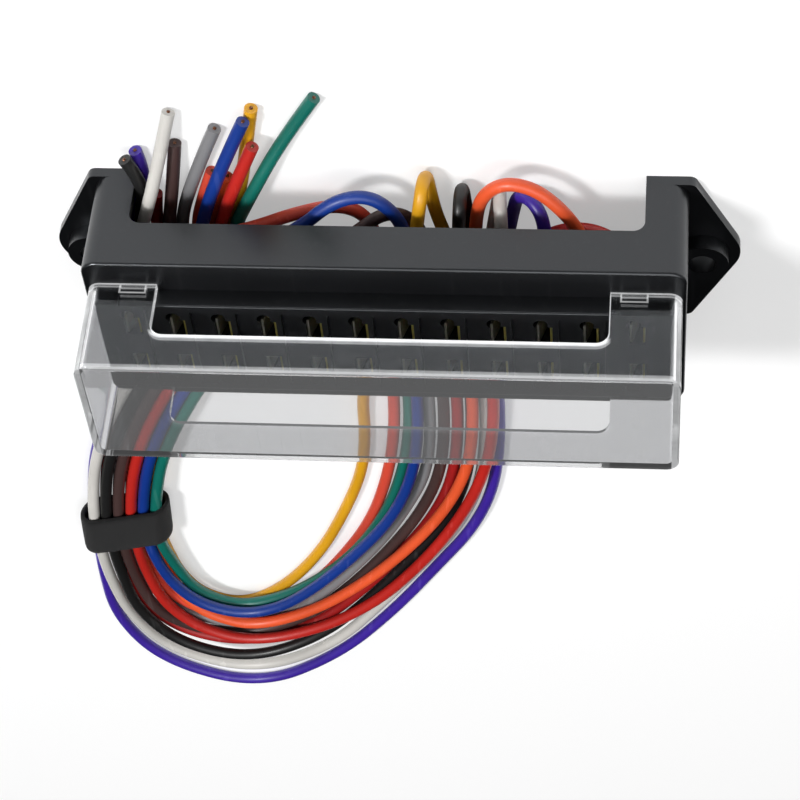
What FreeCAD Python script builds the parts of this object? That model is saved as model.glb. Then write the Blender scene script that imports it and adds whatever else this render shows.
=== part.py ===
"""Blade fuse block: moulded housing on two ears, clear lift-off cover, twelve wired ways.

Frame: origin at the centre of the base, in the panel plane. X runs along the block, Y from the
front long side to the back one, Z up towards the fuses. Sizes are in millimetres.
"""
import FreeCAD, Part
import math
import os

from FreeCAD import Vector

# housing
body_ledge = 1.0
body_width = 49.0
body_height = 29.0
body_wall = 2.5
body_roof = 2.6
body_corner = 4.0
body_edge = 0.8
base_post_width = 10.0
base_cut_height = 16.5
base_cut_corner = 2.8

# ears and their bosses
hole_offset = 3.5
hole_diameter = 6.5
boss_diameter = 12.5
boss_height = 4.0
ear_thickness = 2.6
ear_tip_radius = 9.0
ear_corner = 2.0

# socket block, ways and keyhole slots
ways = 12
way_pitch = 10.7
end_margin = 2.85
row_spacing = 14.0
block_height = 5.0
block_clearance = 0.25
block_edge = 0.5
slot_width = 3.8
slot_length = 6.6
keyhole_diameter = 3.4
keyhole_depth = 6.0
keyhole_shift = 0.9
valley_width = 4.2
valley_depth = 1.5
valley_rim = 2.4
tower_height = 7.5
tower_wall = 1.5

# cover
cover_width = 35.0
cover_height = 25.0
cover_wall = 1.7
cover_corner = 3.0
cover_edge = 0.6
window_tab_width = 16.5
window_height = 14.5
window_corner = 3.0
lug_width = 6.0
lug_height = 2.6
lug_depth = 0.9
lug_inset = 11.0
lug_clearance = 0.3

# terminals and bus bar
leaf_thickness = 0.5
leaf_clearance = 0.15
blade_gap = 0.9
terminal_width = slot_length
terminal_height = 13.0
terminal_sink = 0.8
barrel_length = 3.0
barrel_wall = 0.2
bus_thickness = 0.8
bus_overhang = 4.0
feed_tab_width = 6.3
feed_tab_length = 8.0

# wires and strap
wire_diameter = 3.2
bend_share = 0.45
strap_width = 12.5
strap_thickness = 1.2
strap_centre = (84.3, 121.0)
strap_turn = 4.0
strap_slope = 18.0
strap_inner_length = 23.4
strap_inner_height = 7.0

# worked out from the sizes above
block_length = ways * way_pitch + 2 * end_margin
cover_length = block_length + 2 * (cover_wall + block_clearance)
body_length = cover_length + 2 * body_ledge
base_cut_length = body_length - 2 * base_post_width
hole_spacing = body_length + 2 * hole_offset
window_length = cover_length - 2 * window_tab_width
lug_spacing = cover_length - 2 * lug_inset
block_width = cover_width - 2 * (cover_wall + block_clearance)
block_top = body_height + block_height
cover_top = body_height + cover_height
roof_under = body_height - body_roof
tower_bottom = roof_under - tower_height
row_y = row_spacing / 2
way_x = [way_pitch * ((ways - 1) / 2 - n) for n in range(ways)]
terminal_top = block_top - terminal_sink
terminal_bottom = terminal_top - terminal_height
wire_exit_z = terminal_bottom - barrel_length
wire_radius = wire_diameter / 2

# wire routes: hand-chosen points from the terminal, round the loop, to the bare end
routes = {
    "wire_salmon": [
        (58.85, -7, 17.2), (58.85, -7, 13.9), (56.8, -8.6, 11.7), (51.2, -10.6, 10.9),
        (43, -11.8, 10.2), (33, -13.2, 8.4), (22, -16.4, 6), (11.5, -17, 3.6), (5.2, -9.5, 1.9),
        (4.2, 6, 1.7), (5, 26, 1.7), (4.4, 50, 1.7), (5.4, 76, 1.7), (8.8, 99, 1.7),
        (15.6, 124, 1.7), (28.5, 149, 1.7), (42, 168, 1.7), (57, 177, 1.7), (70.5, 174.6, 1.7),
        (79.6, 163.6, 1.7), (83, 146.5, 1.7), (83.2, 130, 3), (82.2, 112, 3), (77.2, 88, 1.7),
        (64.8, 60, 1.7), (54.2, 42, 1.7), (45.7, 26, 1.7), (47.6, 10, 1.7), (48.2, -5, 1.7),
        (44.8, -17, 1.7), (40.9, -27, 1.7)],
    "wire_green": [
        (48.15, -7, 17.2), (48.15, -7, 14.1), (46.2, -5.8, 11.6), (40.6, -2.4, 11.6),
        (31, 3, 11.2), (19, 9.5, 9.2), (8.6, 20, 6.6), (1.8, 33, 4.8), (0.6, 50, 1.7),
        (1.4, 76, 1.7), (4.6, 97, 2), (10.4, 115, 4.6), (20, 134, 5.2), (32, 150, 5.1),
        (45, 160, 5.1), (58, 164, 5.1), (68.8, 156.4, 5.1), (74, 142, 5.2), (76, 128, 6.4),
        (74.6, 112, 6.4), (69.2, 88, 5.2), (57.2, 60, 5.1), (46.8, 42, 5.1), (38.6, 26, 5.1),
        (38.6, 9, 5.1), (39, -7, 5.1), (32.4, -21.5, 4.4), (23.8, -37.6, 1.8), (15.2, -53, 1.7)],
    "wire_blue": [
        (37.45, -7, 17.2), (37.45, -7, 14.1), (35.6, -8.2, 11.6), (30.4, -10.8, 11.5),
        (22.5, -15.5, 11), (13.5, -21, 9.8), (3.5, -22, 8.8), (-3.6, -15.5, 8.8), (-4, -4, 8.8),
        (-1.8, 12, 8.7), (-1.4, 28, 7.4), (-2, 48, 4.9), (-1.2, 74, 4.8), (2, 96, 5.4),
        (9, 114, 7.6), (20.5, 131.5, 8.6), (33, 149, 8.6), (44.5, 162.5, 8), (56, 169.5, 5.6),
        (68, 164.5, 5.1), (75.4, 151, 5.1), (79.5, 130, 6.4), (78.2, 112, 6.4), (72.8, 88, 5.2),
        (60.9, 60, 5.1), (50.5, 42, 5.3), (43.2, 27.5, 8.2), (44.6, 12, 8.6), (47.6, -2, 8.2),
        (44.8, -14, 5.4), (38.6, -31, 5.1), (31.8, -46, 5.1)],
    "wire_grey": [
        (26.75, -7, 17.2), (26.75, -7, 14.1), (24.6, -6.4, 11.6), (19, -5, 10.2), (12, -3.6, 8),
        (4, -1.8, 5.4), (-1.6, 5, 2.4), (-2.8, 18, 1.7), (-3.6, 34, 1.7), (-4.4, 54, 1.7),
        (-4, 78, 1.7), (-1.4, 99, 1.7), (5, 116, 1.7), (13, 133, 1.7), (26, 154, 1.7),
        (40.5, 173, 1.7), (57, 182.2, 1.7), (72, 178.6, 1.7), (82.6, 166, 1.7), (86.2, 147, 1.7),
        (86.7, 130, 3), (85.7, 112, 3), (80.8, 88, 1.7), (68.6, 60, 1.7), (58, 42, 1.7),
        (49.4, 26, 1.7), (51.4, 10, 1.7), (52.2, -6, 1.7), (46.2, -24.4, 1.7), (38.2, -42, 1.7)],
    "wire_brown": [
        (16.05, -7, 17.2), (16.05, -7, 13.9), (14.2, -9.2, 11.3), (8.6, -12.4, 8.8),
        (0.6, -14.4, 5.4), (-5.8, -9, 2.4), (-7.4, 2, 1.7), (-6.6, 18, 1.7), (-7, 36, 1.7),
        (-8.2, 54, 1.7), (-7.7, 78, 1.7), (-5, 100, 1.7), (1.2, 118, 1.7), (9.6, 135, 1.7),
        (23, 157, 1.7), (38.5, 177, 1.7), (57, 187.4, 1.7), (72, 184.8, 2.4), (82.6, 171.4, 4.8),
        (86, 152, 5.2), (86.5, 131, 6.4), (85.2, 112, 6.4), (80.2, 88, 5.2), (68.5, 60, 5.1),
        (57.9, 42, 5.1), (49.8, 26, 5.1), (51.8, 9, 5.1), (54.6, -6, 5.1), (51.4, -22, 3.4),
        (47.8, -36.8, 1.7)],
    "wire_dark_red": [
        (5.35, -7, 17.2), (5.35, -7, 13.9), (4.5, -8.4, 10.9), (1.4, -8.6, 7.4), (-3.4, -5, 5.15),
        (-8, 1.8, 5.3), (-10.4, 9.5, 3.5), (-10.8, 18, 1.7), (-10.6, 32, 1.7), (-11.8, 54, 1.7),
        (-11.3, 78, 1.7), (-8.6, 101, 1.7), (-2.3, 120, 1.7), (6.6, 137, 1.7), (20.2, 160, 1.7),
        (37, 181.5, 1.7), (57, 192.6, 1.7), (76.4, 188, 1.7), (87.4, 171.6, 1.7), (90, 149, 1.7),
        (90.2, 130, 3), (89.2, 112, 3), (84.4, 88, 1.7), (72.4, 60, 1.7), (61.8, 42, 1.7),
        (53.1, 26, 1.7), (56, 11, 1.7), (58.4, -3.4, 1.7), (56.2, -17.6, 1.7)],
    "wire_yellow": [
        (-5.35, -7, 17.2), (-5.35, -7, 13.9), (-5.7, -9.4, 11.5), (-6.4, -14.5, 10.6),
        (-7.2, -20.4, 9.9), (-7.9, -25, 9.2), (-8.3, -27.2, 7), (-8.6, -27.2, 3.95),
        (-9, -25.05, 1.75), (-9.9, -20, 1.7), (-11.6, -11.5, 1.7), (-13.8, -2, 1.7),
        (-14.4, 6.5, 3.4), (-12.4, 15, 6.6), (-7.5, 24, 9.8), (-0.6, 33, 11), (6, 42, 8.8),
        (11, 52, 4.8), (13.2, 64, 1.8), (13.6, 80, 1.7), (16, 98.5, 1.7), (22.2, 118, 1.7),
        (31, 140, 1.7), (43.5, 160, 1.7), (57, 170.5, 1.7), (68.6, 165.4, 1.7), (73.8, 153.8, 1.7),
        (75.6, 142, 1.7), (76.3, 130, 3), (75.2, 112, 3), (70, 88, 1.7), (57.2, 60, 1.7),
        (46.6, 42, 1.7), (38.2, 26, 1.7), (39.4, 10, 1.7), (40, -5.4, 1.7), (35.4, -20.4, 1.7),
        (32.4, -35.6, 1.7), (29.6, -50.4, 1.7)],
    "wire_black": [
        (-16.05, -7, 17.2), (-16.05, -7, 13.9), (-16.2, -9.4, 11.5), (-16.4, -14, 10.4),
        (-16.6, -18.6, 9.7), (-16.8, -22.6, 9.1), (-16.9, -24.8, 6.9), (-17, -24.8, 3.85),
        (-17.2, -22.65, 1.7), (-17.5, -17.6, 1.7), (-18, -8, 1.7), (-18, 5, 1.7), (-16.8, 19, 1.7),
        (-14.8, 34, 1.7), (-15.4, 54, 1.7), (-14.9, 78, 1.7), (-12.2, 102, 1.7), (-5.8, 122, 1.7),
        (3.6, 139, 1.7), (17.6, 163, 1.7), (35, 186.6, 2.4), (57, 196.8, 5.1), (77.5, 189.4, 5.2),
        (88.4, 170, 5.2), (90, 148, 5.2), (89.8, 130, 6.4), (88.7, 112, 6.4), (83.9, 88, 5.2),
        (72.3, 60, 5.1), (61.7, 42, 5.1), (53.6, 26, 5.1), (57, 12, 5.1), (60.6, -1, 5.1),
        (60.4, -12.4, 5.1), (57.4, -24.6, 5.1), (61, -33.6, 5.1)],
    "wire_white": [
        (-26.75, -7, 17.2), (-26.75, -7, 14.1), (-26.7, -9.2, 11.5), (-26.6, -12.8, 10.4),
        (-26.5, -16.4, 9.8), (-26.4, -19.6, 9.1), (-26.2, -21.7, 6.9), (-26, -21.7, 3.85),
        (-25.7, -19.65, 1.7), (-25, -14.8, 1.7), (-23.6, -6, 1.7), (-21.8, 7, 1.7),
        (-20.2, 24, 1.7), (-18.4, 40, 1.7), (-19, 58, 1.7), (-18.5, 80, 1.7), (-15.8, 104, 1.7),
        (-9.2, 124, 1.7), (0.4, 141.4, 1.7), (15, 166.4, 1.7), (33, 191, 1.7), (57, 206, 1.7),
        (80.6, 197.4, 1.7), (92, 177, 2.6), (93.9, 150, 5), (93.3, 130, 6.4), (92.2, 112, 6.4),
        (87.6, 88, 5.2), (76.1, 60, 5.1), (65.6, 42, 5.1), (57.8, 27.5, 6.4), (58.8, 14, 8.6),
        (61.4, 0, 8.8), (59.8, -12, 9), (55.8, -24, 8.6), (52.2, -36, 5), (48.8, -47.2, 1.8)],
    "wire_violet": [
        (-37.45, -7, 17.2), (-37.45, -7, 13.9), (-37, -9.4, 11.5), (-36.2, -13, 9.9),
        (-34.9, -16.2, 7.6), (-33, -17.6, 4.6), (-31, -16.4, 2.2), (-29.4, -12.6, 1.7),
        (-27.4, -5, 1.7), (-25, 7, 1.7), (-23.6, 24, 1.7), (-22, 40, 1.7), (-22.6, 60, 1.7),
        (-22.1, 82, 1.7), (-19.4, 106, 1.7), (-12.8, 126, 1.7), (-2.8, 144, 1.7), (12, 170.6, 1.7),
        (31, 198.4, 1.7), (57.5, 219, 1.7), (85, 206, 1.7), (96.6, 180.6, 1.7), (96.4, 151, 1.7),
        (93.9, 130, 3), (92.7, 112, 3), (88, 88, 1.7), (76.2, 60, 1.7), (65.6, 42, 1.7),
        (57, 26, 1.7), (60.6, 11, 1.7), (63, -2, 1.7), (61.6, -13, 1.7), (57.5, -23.8, 1.7),
        (57.4, -34.6, 1.7)],
    "wire_orange": [
        (-48.15, -7, 17.2), (-48.15, -7, 13.9), (-47.4, -9.4, 11.5), (-45.4, -14.4, 10.2),
        (-41, -20.6, 9), (-34.6, -26, 7.8), (-27.4, -27.4, 7.2), (-22.2, -22.4, 6.6),
        (-20, -13, 5.6), (-19.4, 2, 5.1), (-17.6, 20, 5.1), (-16, 40, 5.1), (-16.2, 60, 5.1),
        (-14.8, 82, 5.1), (-11, 99, 5.1), (-4, 116, 5.1), (6.6, 134, 5.1), (20, 152, 5.1),
        (36, 168, 5.1), (54, 177.6, 5.1), (66.5, 172, 5.1), (73, 164.8, 4.2), (77.3, 154, 2),
        (79.2, 143, 1.7), (79.8, 130, 3), (78.7, 112, 3), (73.6, 88, 1.7), (61, 60, 1.7),
        (50.4, 42, 1.7), (42, 26, 1.7), (43.6, 10, 1.7), (44.2, -5, 1.7), (41.5, -15.4, 1.7),
        (38, -24.4, 1.7)],
    "wire_red": [
        (-58.85, -7, 17.2), (-58.85, -7, 13.9), (-57.6, -8.8, 11.4), (-53.6, -11.4, 8.9),
        (-47, -13.2, 6.8), (-39.5, -11.2, 5.7), (-32.5, -4.5, 5.2), (-27, 8, 5.1),
        (-23.4, 24, 5.1), (-21.4, 42, 5.1), (-21.6, 62, 5.1), (-19.8, 82, 5.1), (-16, 99, 5.1),
        (-9, 118, 5.1), (1.6, 139, 5.1), (16, 161, 5.1), (34, 177.6, 5.1), (55, 186.6, 5.1),
        (70, 180.4, 5.1), (79.4, 166.8, 5.1), (82.3, 149, 5.2), (82.8, 130, 6.4), (81.7, 112, 6.4),
        (76.4, 88, 5.2), (64.7, 60, 5.1), (54.2, 42, 5.1), (46, 26, 5.1), (44, 10, 5.1),
        (43, -5, 5.1), (37.6, -21.2, 5.1), (31, -36.6, 5.1)],
}


def box(x0, x1, y0, y1, z0, z1):
    return Part.makeBox(x1 - x0, y1 - y0, z1 - z0, Vector(x0, y0, z0))


def centred_box(length, width, z0, z1):
    return box(-length / 2, length / 2, -width / 2, width / 2, z0, z1)


def edges_along_z(shape):
    found = []
    for edge in shape.Edges:
        low, high = edge.BoundBox.ZMin, edge.BoundBox.ZMax
        if edge.BoundBox.XLength < 1e-6 and edge.BoundBox.YLength < 1e-6 and high - low > 1e-6:
            found.append(edge)
    return found


def edges_at_height(shape, z):
    return [e for e in shape.Edges if abs(e.BoundBox.ZMin - z) < 1e-6 and abs(e.BoundBox.ZMax - z) < 1e-6]


def rounded_box(length, width, z0, z1, corner):
    block = centred_box(length, width, z0, z1)
    return block.makeFillet(corner, edges_along_z(block))


def window_prism(length, z0, z1, corner, y0, y1):
    """A cut through walls across Y, open at the bottom and rounded at its two upper corners."""
    prism = box(-length / 2, length / 2, y0, y1, z0, z1)
    upper = [e for e in prism.Edges if e.BoundBox.ZLength < 1e-6 and e.BoundBox.XLength < 1e-6
             and abs(e.BoundBox.ZMin - z1) < 1e-6]
    return prism.makeFillet(corner, upper)


def make_ear(side):
    """Plate in the panel plane, straight flanks tangent to the tip round the screw hole."""
    hole_x = hole_spacing / 2
    root_x = body_length / 2 + 1.2
    root_y = body_width / 2
    reach = math.hypot(root_x - hole_x, root_y)
    angle = math.atan2(root_y, root_x - hole_x) - math.acos(ear_tip_radius / reach)
    tangent_x = hole_x + ear_tip_radius * math.cos(angle)
    tangent_y = ear_tip_radius * math.sin(angle)
    inner_x = body_length / 2 - body_corner
    tip = Vector(hole_x + ear_tip_radius, 0, 0)
    corners = [Vector(inner_x, root_y, 0), Vector(root_x, root_y, 0), Vector(tangent_x, tangent_y, 0),
               Vector(tangent_x, -tangent_y, 0), Vector(root_x, -root_y, 0), Vector(inner_x, -root_y, 0)]
    edges = [Part.LineSegment(corners[0], corners[1]).toShape(),
             Part.LineSegment(corners[1], corners[2]).toShape(),
             Part.Arc(corners[2], tip, corners[3]).toShape(),
             Part.LineSegment(corners[3], corners[4]).toShape(),
             Part.LineSegment(corners[4], corners[5]).toShape(),
             Part.LineSegment(corners[5], corners[0]).toShape()]
    plate = Part.Face(Part.Wire(edges)).extrude(Vector(0, 0, ear_thickness))
    roots = [e for e in edges_along_z(plate) if abs(e.BoundBox.XMin - root_x) < 1e-6]
    plate = plate.makeFillet(ear_corner, roots)
    boss = Part.makeCylinder(boss_diameter / 2, ear_thickness + boss_height, Vector(hole_x, 0, 0))
    ear = plate.fuse(boss)
    if side < 0:
        ear = ear.mirror(Vector(0, 0, 0), Vector(1, 0, 0))
    return ear


def make_shell():
    shell = rounded_box(body_length, body_width, 0, body_height, body_corner)
    shell = shell.makeFillet(body_edge, edges_at_height(shell, body_height))
    hollow = rounded_box(body_length - 2 * body_wall, body_width - 2 * body_wall, 0, roof_under,
                         body_corner - body_wall)
    cut = window_prism(base_cut_length, 0, base_cut_height, base_cut_corner,
                       -body_width, body_width)
    return shell, hollow, cut


def make_towers():
    """Two bars under the roof, one per row, that hold the terminals."""
    towers = []
    half = slot_length / 2 + tower_wall
    for y in (-row_y, row_y):
        towers.append(box(-body_length / 2 + body_wall, body_length / 2 - body_wall,
                          y - half, y + half, tower_bottom, roof_under))
    return towers


def make_block():
    """Raised socket block, valleys between the ways and snap recesses for the cover's lugs."""
    block = rounded_box(block_length, block_width, body_height - body_roof, block_top,
                        cover_corner - cover_wall)
    block = block.makeFillet(block_edge, edges_at_height(block, block_top))
    half = block_width / 2 - valley_rim
    for n in range(ways - 1):
        x = (way_x[n] + way_x[n + 1]) / 2
        valley = box(x - valley_width / 2, x + valley_width / 2, -half, half,
                     block_top - valley_depth, block_top + 1)
        block = block.cut(valley)
    for x in (-lug_spacing / 2, lug_spacing / 2):
        for side in (-1, 1):
            face = side * block_width / 2
            depth = side * (lug_depth - block_clearance + lug_clearance)
            y0, y1 = sorted((face - depth, face + depth))
            recess = box(x - lug_width / 2 - lug_clearance, x + lug_width / 2 + lug_clearance,
                         y0, y1, body_height, block_top + 1)
            block = block.cut(recess)
    return block


def make_slots():
    """One keyhole per way and row: a blade slot right through and a round test hole, blind."""
    cutters = []
    for x in way_x:
        for side in (-1, 1):
            y = side * row_y
            cutters.append(box(x - slot_width / 2, x + slot_width / 2, y - slot_length / 2,
                               y + slot_length / 2, tower_bottom - 1, block_top + 1))
            hole_y = side * (row_y + slot_length / 2 + keyhole_diameter / 4)
            cutters.append(Part.makeCylinder(keyhole_diameter / 2, keyhole_depth + 1,
                                             Vector(x + keyhole_shift, hole_y,
                                                    block_top - keyhole_depth)))
    return cutters


def make_housing():
    shell, hollow, cut = make_shell()
    ears = [make_ear(1), make_ear(-1)]
    outer = shell.multiFuse(ears + [make_block()])
    body = outer.cut(hollow).cut(cut)
    body = body.multiFuse(make_towers())
    body = body.cut(Part.makeCompound(make_slots()))
    for side in (-1, 1):
        hole = Part.makeCylinder(hole_diameter / 2, ear_thickness + boss_height + 2,
                                 Vector(side * hole_spacing / 2, 0, -1))
        body = body.cut(hole)
    return body.removeSplitter()


def make_cover():
    """Clear box, open underneath, with a wide window in each long wall and a lug on each tab."""
    outer = rounded_box(cover_length, cover_width, body_height, cover_top, cover_corner)
    outer = outer.makeFillet(cover_edge, edges_at_height(outer, cover_top))
    inner = rounded_box(cover_length - 2 * cover_wall, cover_width - 2 * cover_wall, body_height,
                        cover_top - cover_wall, cover_corner - cover_wall)
    window = window_prism(window_length, body_height, body_height + window_height, window_corner,
                          -cover_width, cover_width)
    lugs = []
    for x in (-lug_spacing / 2, lug_spacing / 2):
        for side in (-1, 1):
            wall = side * (cover_width / 2 - cover_wall)
            y0, y1 = sorted((wall - side * lug_depth, wall + side * cover_wall / 2))
            lugs.append(box(x - lug_width / 2, x + lug_width / 2, y0, y1, body_height,
                            body_height + lug_height))
    return outer.cut(inner).cut(window).multiFuse(lugs).removeSplitter()


def leaf_profile(x, z0, z1):
    """Section of a blade clip: a straight leaf, a web, and a leaf bowed in to grip the blade."""
    half = slot_width / 2 - leaf_clearance
    t = leaf_thickness
    right = x - half
    left = x + half
    grip = right + t + blade_gap
    mid = (z0 + z1) / 2 + 1.0
    points = [(right, z0), (left, z0), (left, mid - 3.0), (grip + t, mid + 1.0),
              (left, z1), (left - t, z1), (grip, mid + 1.0), (left - t, mid - 3.2),
              (left - t, z0 + t), (right + t, z0 + t), (right + t, z1), (right, z1)]
    return points


def make_clip(x, y, z0, z1):
    corners = [Vector(px, y - terminal_width / 2, pz) for px, pz in leaf_profile(x, z0, z1)]
    face = Part.Face(Part.makePolygon(corners + corners[:1]))
    return face.extrude(Vector(0, terminal_width, 0))


def make_terminal(x):
    clip = make_clip(x, -row_y, terminal_bottom, terminal_top)
    barrel = Part.makeCylinder(wire_radius + barrel_wall, barrel_length,
                               Vector(x, -row_y, wire_exit_z))
    return clip.fuse(barrel).removeSplitter()


def make_bus_bar():
    """Common bar under the back row: a clip for every way and one feed tab at its end."""
    reach = way_x[0] + bus_overhang
    top = tower_bottom
    bar = box(-reach, reach, row_y - terminal_width / 2, row_y + terminal_width / 2,
              top - bus_thickness, top)
    clips = [make_clip(x, row_y, top - bus_thickness / 2, terminal_top) for x in way_x]
    tab = box(-reach - bus_thickness, -reach, row_y - feed_tab_width / 2,
              row_y + feed_tab_width / 2, top - feed_tab_length, top)
    return bar.multiFuse(clips + [tab]).removeSplitter()


def cord_path(points):
    """Straight runs joined by tangent arcs; each arc takes its share of the shorter run."""
    corners = [Vector(*p) for p in points]
    edges = []
    radii = []
    start = corners[0]
    for before, corner, after in zip(corners, corners[1:], corners[2:]):
        inward = (before - corner).normalize()
        outward = (after - corner).normalize()
        turn = math.pi - inward.getAngle(outward)
        reach = bend_share * min((corner - before).Length, (after - corner).Length)
        radii.append(reach / math.tan(turn / 2))
        first = corner + inward * reach
        last = corner + outward * reach
        centre = corner + (inward + outward).normalize() * (reach / math.sin(turn / 2))
        middle = centre + (corner - centre).normalize() * radii[-1]
        edges.append(Part.LineSegment(start, first).toShape())
        edges.append(Part.Arc(first, middle, last).toShape())
        start = last
    edges.append(Part.LineSegment(start, corners[-1]).toShape())
    return Part.Wire(edges), radii


def make_wire(name, points):
    path, radii = cord_path(points)
    direction = Vector(*points[1]) - Vector(*points[0])
    section = Part.Wire(Part.makeCircle(wire_radius, Vector(*points[0]), direction))
    tube = path.makePipeShell([section], True, False)
    expected = math.pi * wire_radius ** 2 * path.Length
    print(name, "length", round(path.Length, 1), "volume share", round(tube.Volume / expected, 4),
          "radii", [round(r, 1) for r in radii])
    return tube


def make_strap():
    """Flat band wrapped once round the bundle, its two edges cut at a slope across the wires."""
    reach = strap_inner_length * math.tan(math.radians(strap_slope))
    full = strap_width + 2 * reach

    def band(grow):
        height = strap_inner_height + 2 * grow
        half = (strap_inner_length - strap_inner_height) / 2
        core = Part.makeBox(2 * half, full, height, Vector(-half, -full / 2, -grow))
        sides = []
        for side in (-1, 1):
            centre = Vector(side * half, -full / 2, strap_inner_height / 2)
            sides.append(Part.makeCylinder(height / 2, full, centre, Vector(0, 1, 0)))
        return core.multiFuse(sides)

    half_x = strap_inner_length
    rise = half_x * math.tan(math.radians(strap_slope))
    half_y = strap_width / 2
    corners = [Vector(-half_x, -rise - half_y, -20), Vector(half_x, rise - half_y, -20),
               Vector(half_x, rise + half_y, -20), Vector(-half_x, -rise + half_y, -20)]
    slice_face = Part.Face(Part.makePolygon(corners + corners[:1]))
    strap = band(strap_thickness).cut(band(0)).common(slice_face.extrude(Vector(0, 0, 60)))
    strap.translate(Vector(0, 0, strap_thickness + 0.05))
    strap.rotate(Vector(0, 0, 0), Vector(0, 0, 1), -strap_turn)
    strap.translate(Vector(strap_centre[0], strap_centre[1], 0))
    return strap.removeSplitter()


def save(name, shape):
    shape.exportStep("parts/" + name + ".step")


def main():
    os.makedirs("parts", exist_ok=True)
    save("housing", make_housing())
    save("cover", make_cover())
    save("bus_bar", make_bus_bar())
    for number, x in enumerate(way_x, start=1):
        save("terminal_%02d" % number, make_terminal(x))
    for name, points in routes.items():
        save(name, make_wire(name, points))
    save("strap", make_strap())


main()
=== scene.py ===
import math

import bmesh
import bpy
from bpy.props import FloatProperty, FloatVectorProperty, PointerProperty
from mathutils import Matrix, Vector


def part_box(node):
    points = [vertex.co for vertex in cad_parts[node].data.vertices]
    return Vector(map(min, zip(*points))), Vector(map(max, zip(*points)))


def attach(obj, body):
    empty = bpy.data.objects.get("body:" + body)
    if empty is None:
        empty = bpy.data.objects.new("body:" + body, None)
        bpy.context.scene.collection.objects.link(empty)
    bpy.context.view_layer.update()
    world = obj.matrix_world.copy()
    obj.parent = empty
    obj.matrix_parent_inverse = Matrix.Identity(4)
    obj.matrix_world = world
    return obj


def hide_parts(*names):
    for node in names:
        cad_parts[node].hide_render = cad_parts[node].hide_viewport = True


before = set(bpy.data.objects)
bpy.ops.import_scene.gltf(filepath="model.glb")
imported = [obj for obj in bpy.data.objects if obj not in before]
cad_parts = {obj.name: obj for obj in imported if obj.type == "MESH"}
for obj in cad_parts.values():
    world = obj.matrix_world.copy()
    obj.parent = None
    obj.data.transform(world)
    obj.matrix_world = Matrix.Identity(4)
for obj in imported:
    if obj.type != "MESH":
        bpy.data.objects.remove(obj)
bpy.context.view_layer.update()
COVER_LOW, COVER_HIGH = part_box("cover")

bl_info = {
    "name": "Fuse Block Dressing",
    "version": (1, 0, 0),
    "blender": (4, 5, 0),
    "location": "View3D > Sidebar > Fuse Block",
    "description": "Leads, strap, plastics and contacts of a blade fuse block round its CAD frame",
    "category": "Object",
}

# One millimetre in metres. The model's lengths are in metres everywhere but in ROUTES.
MM = 0.001

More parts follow.
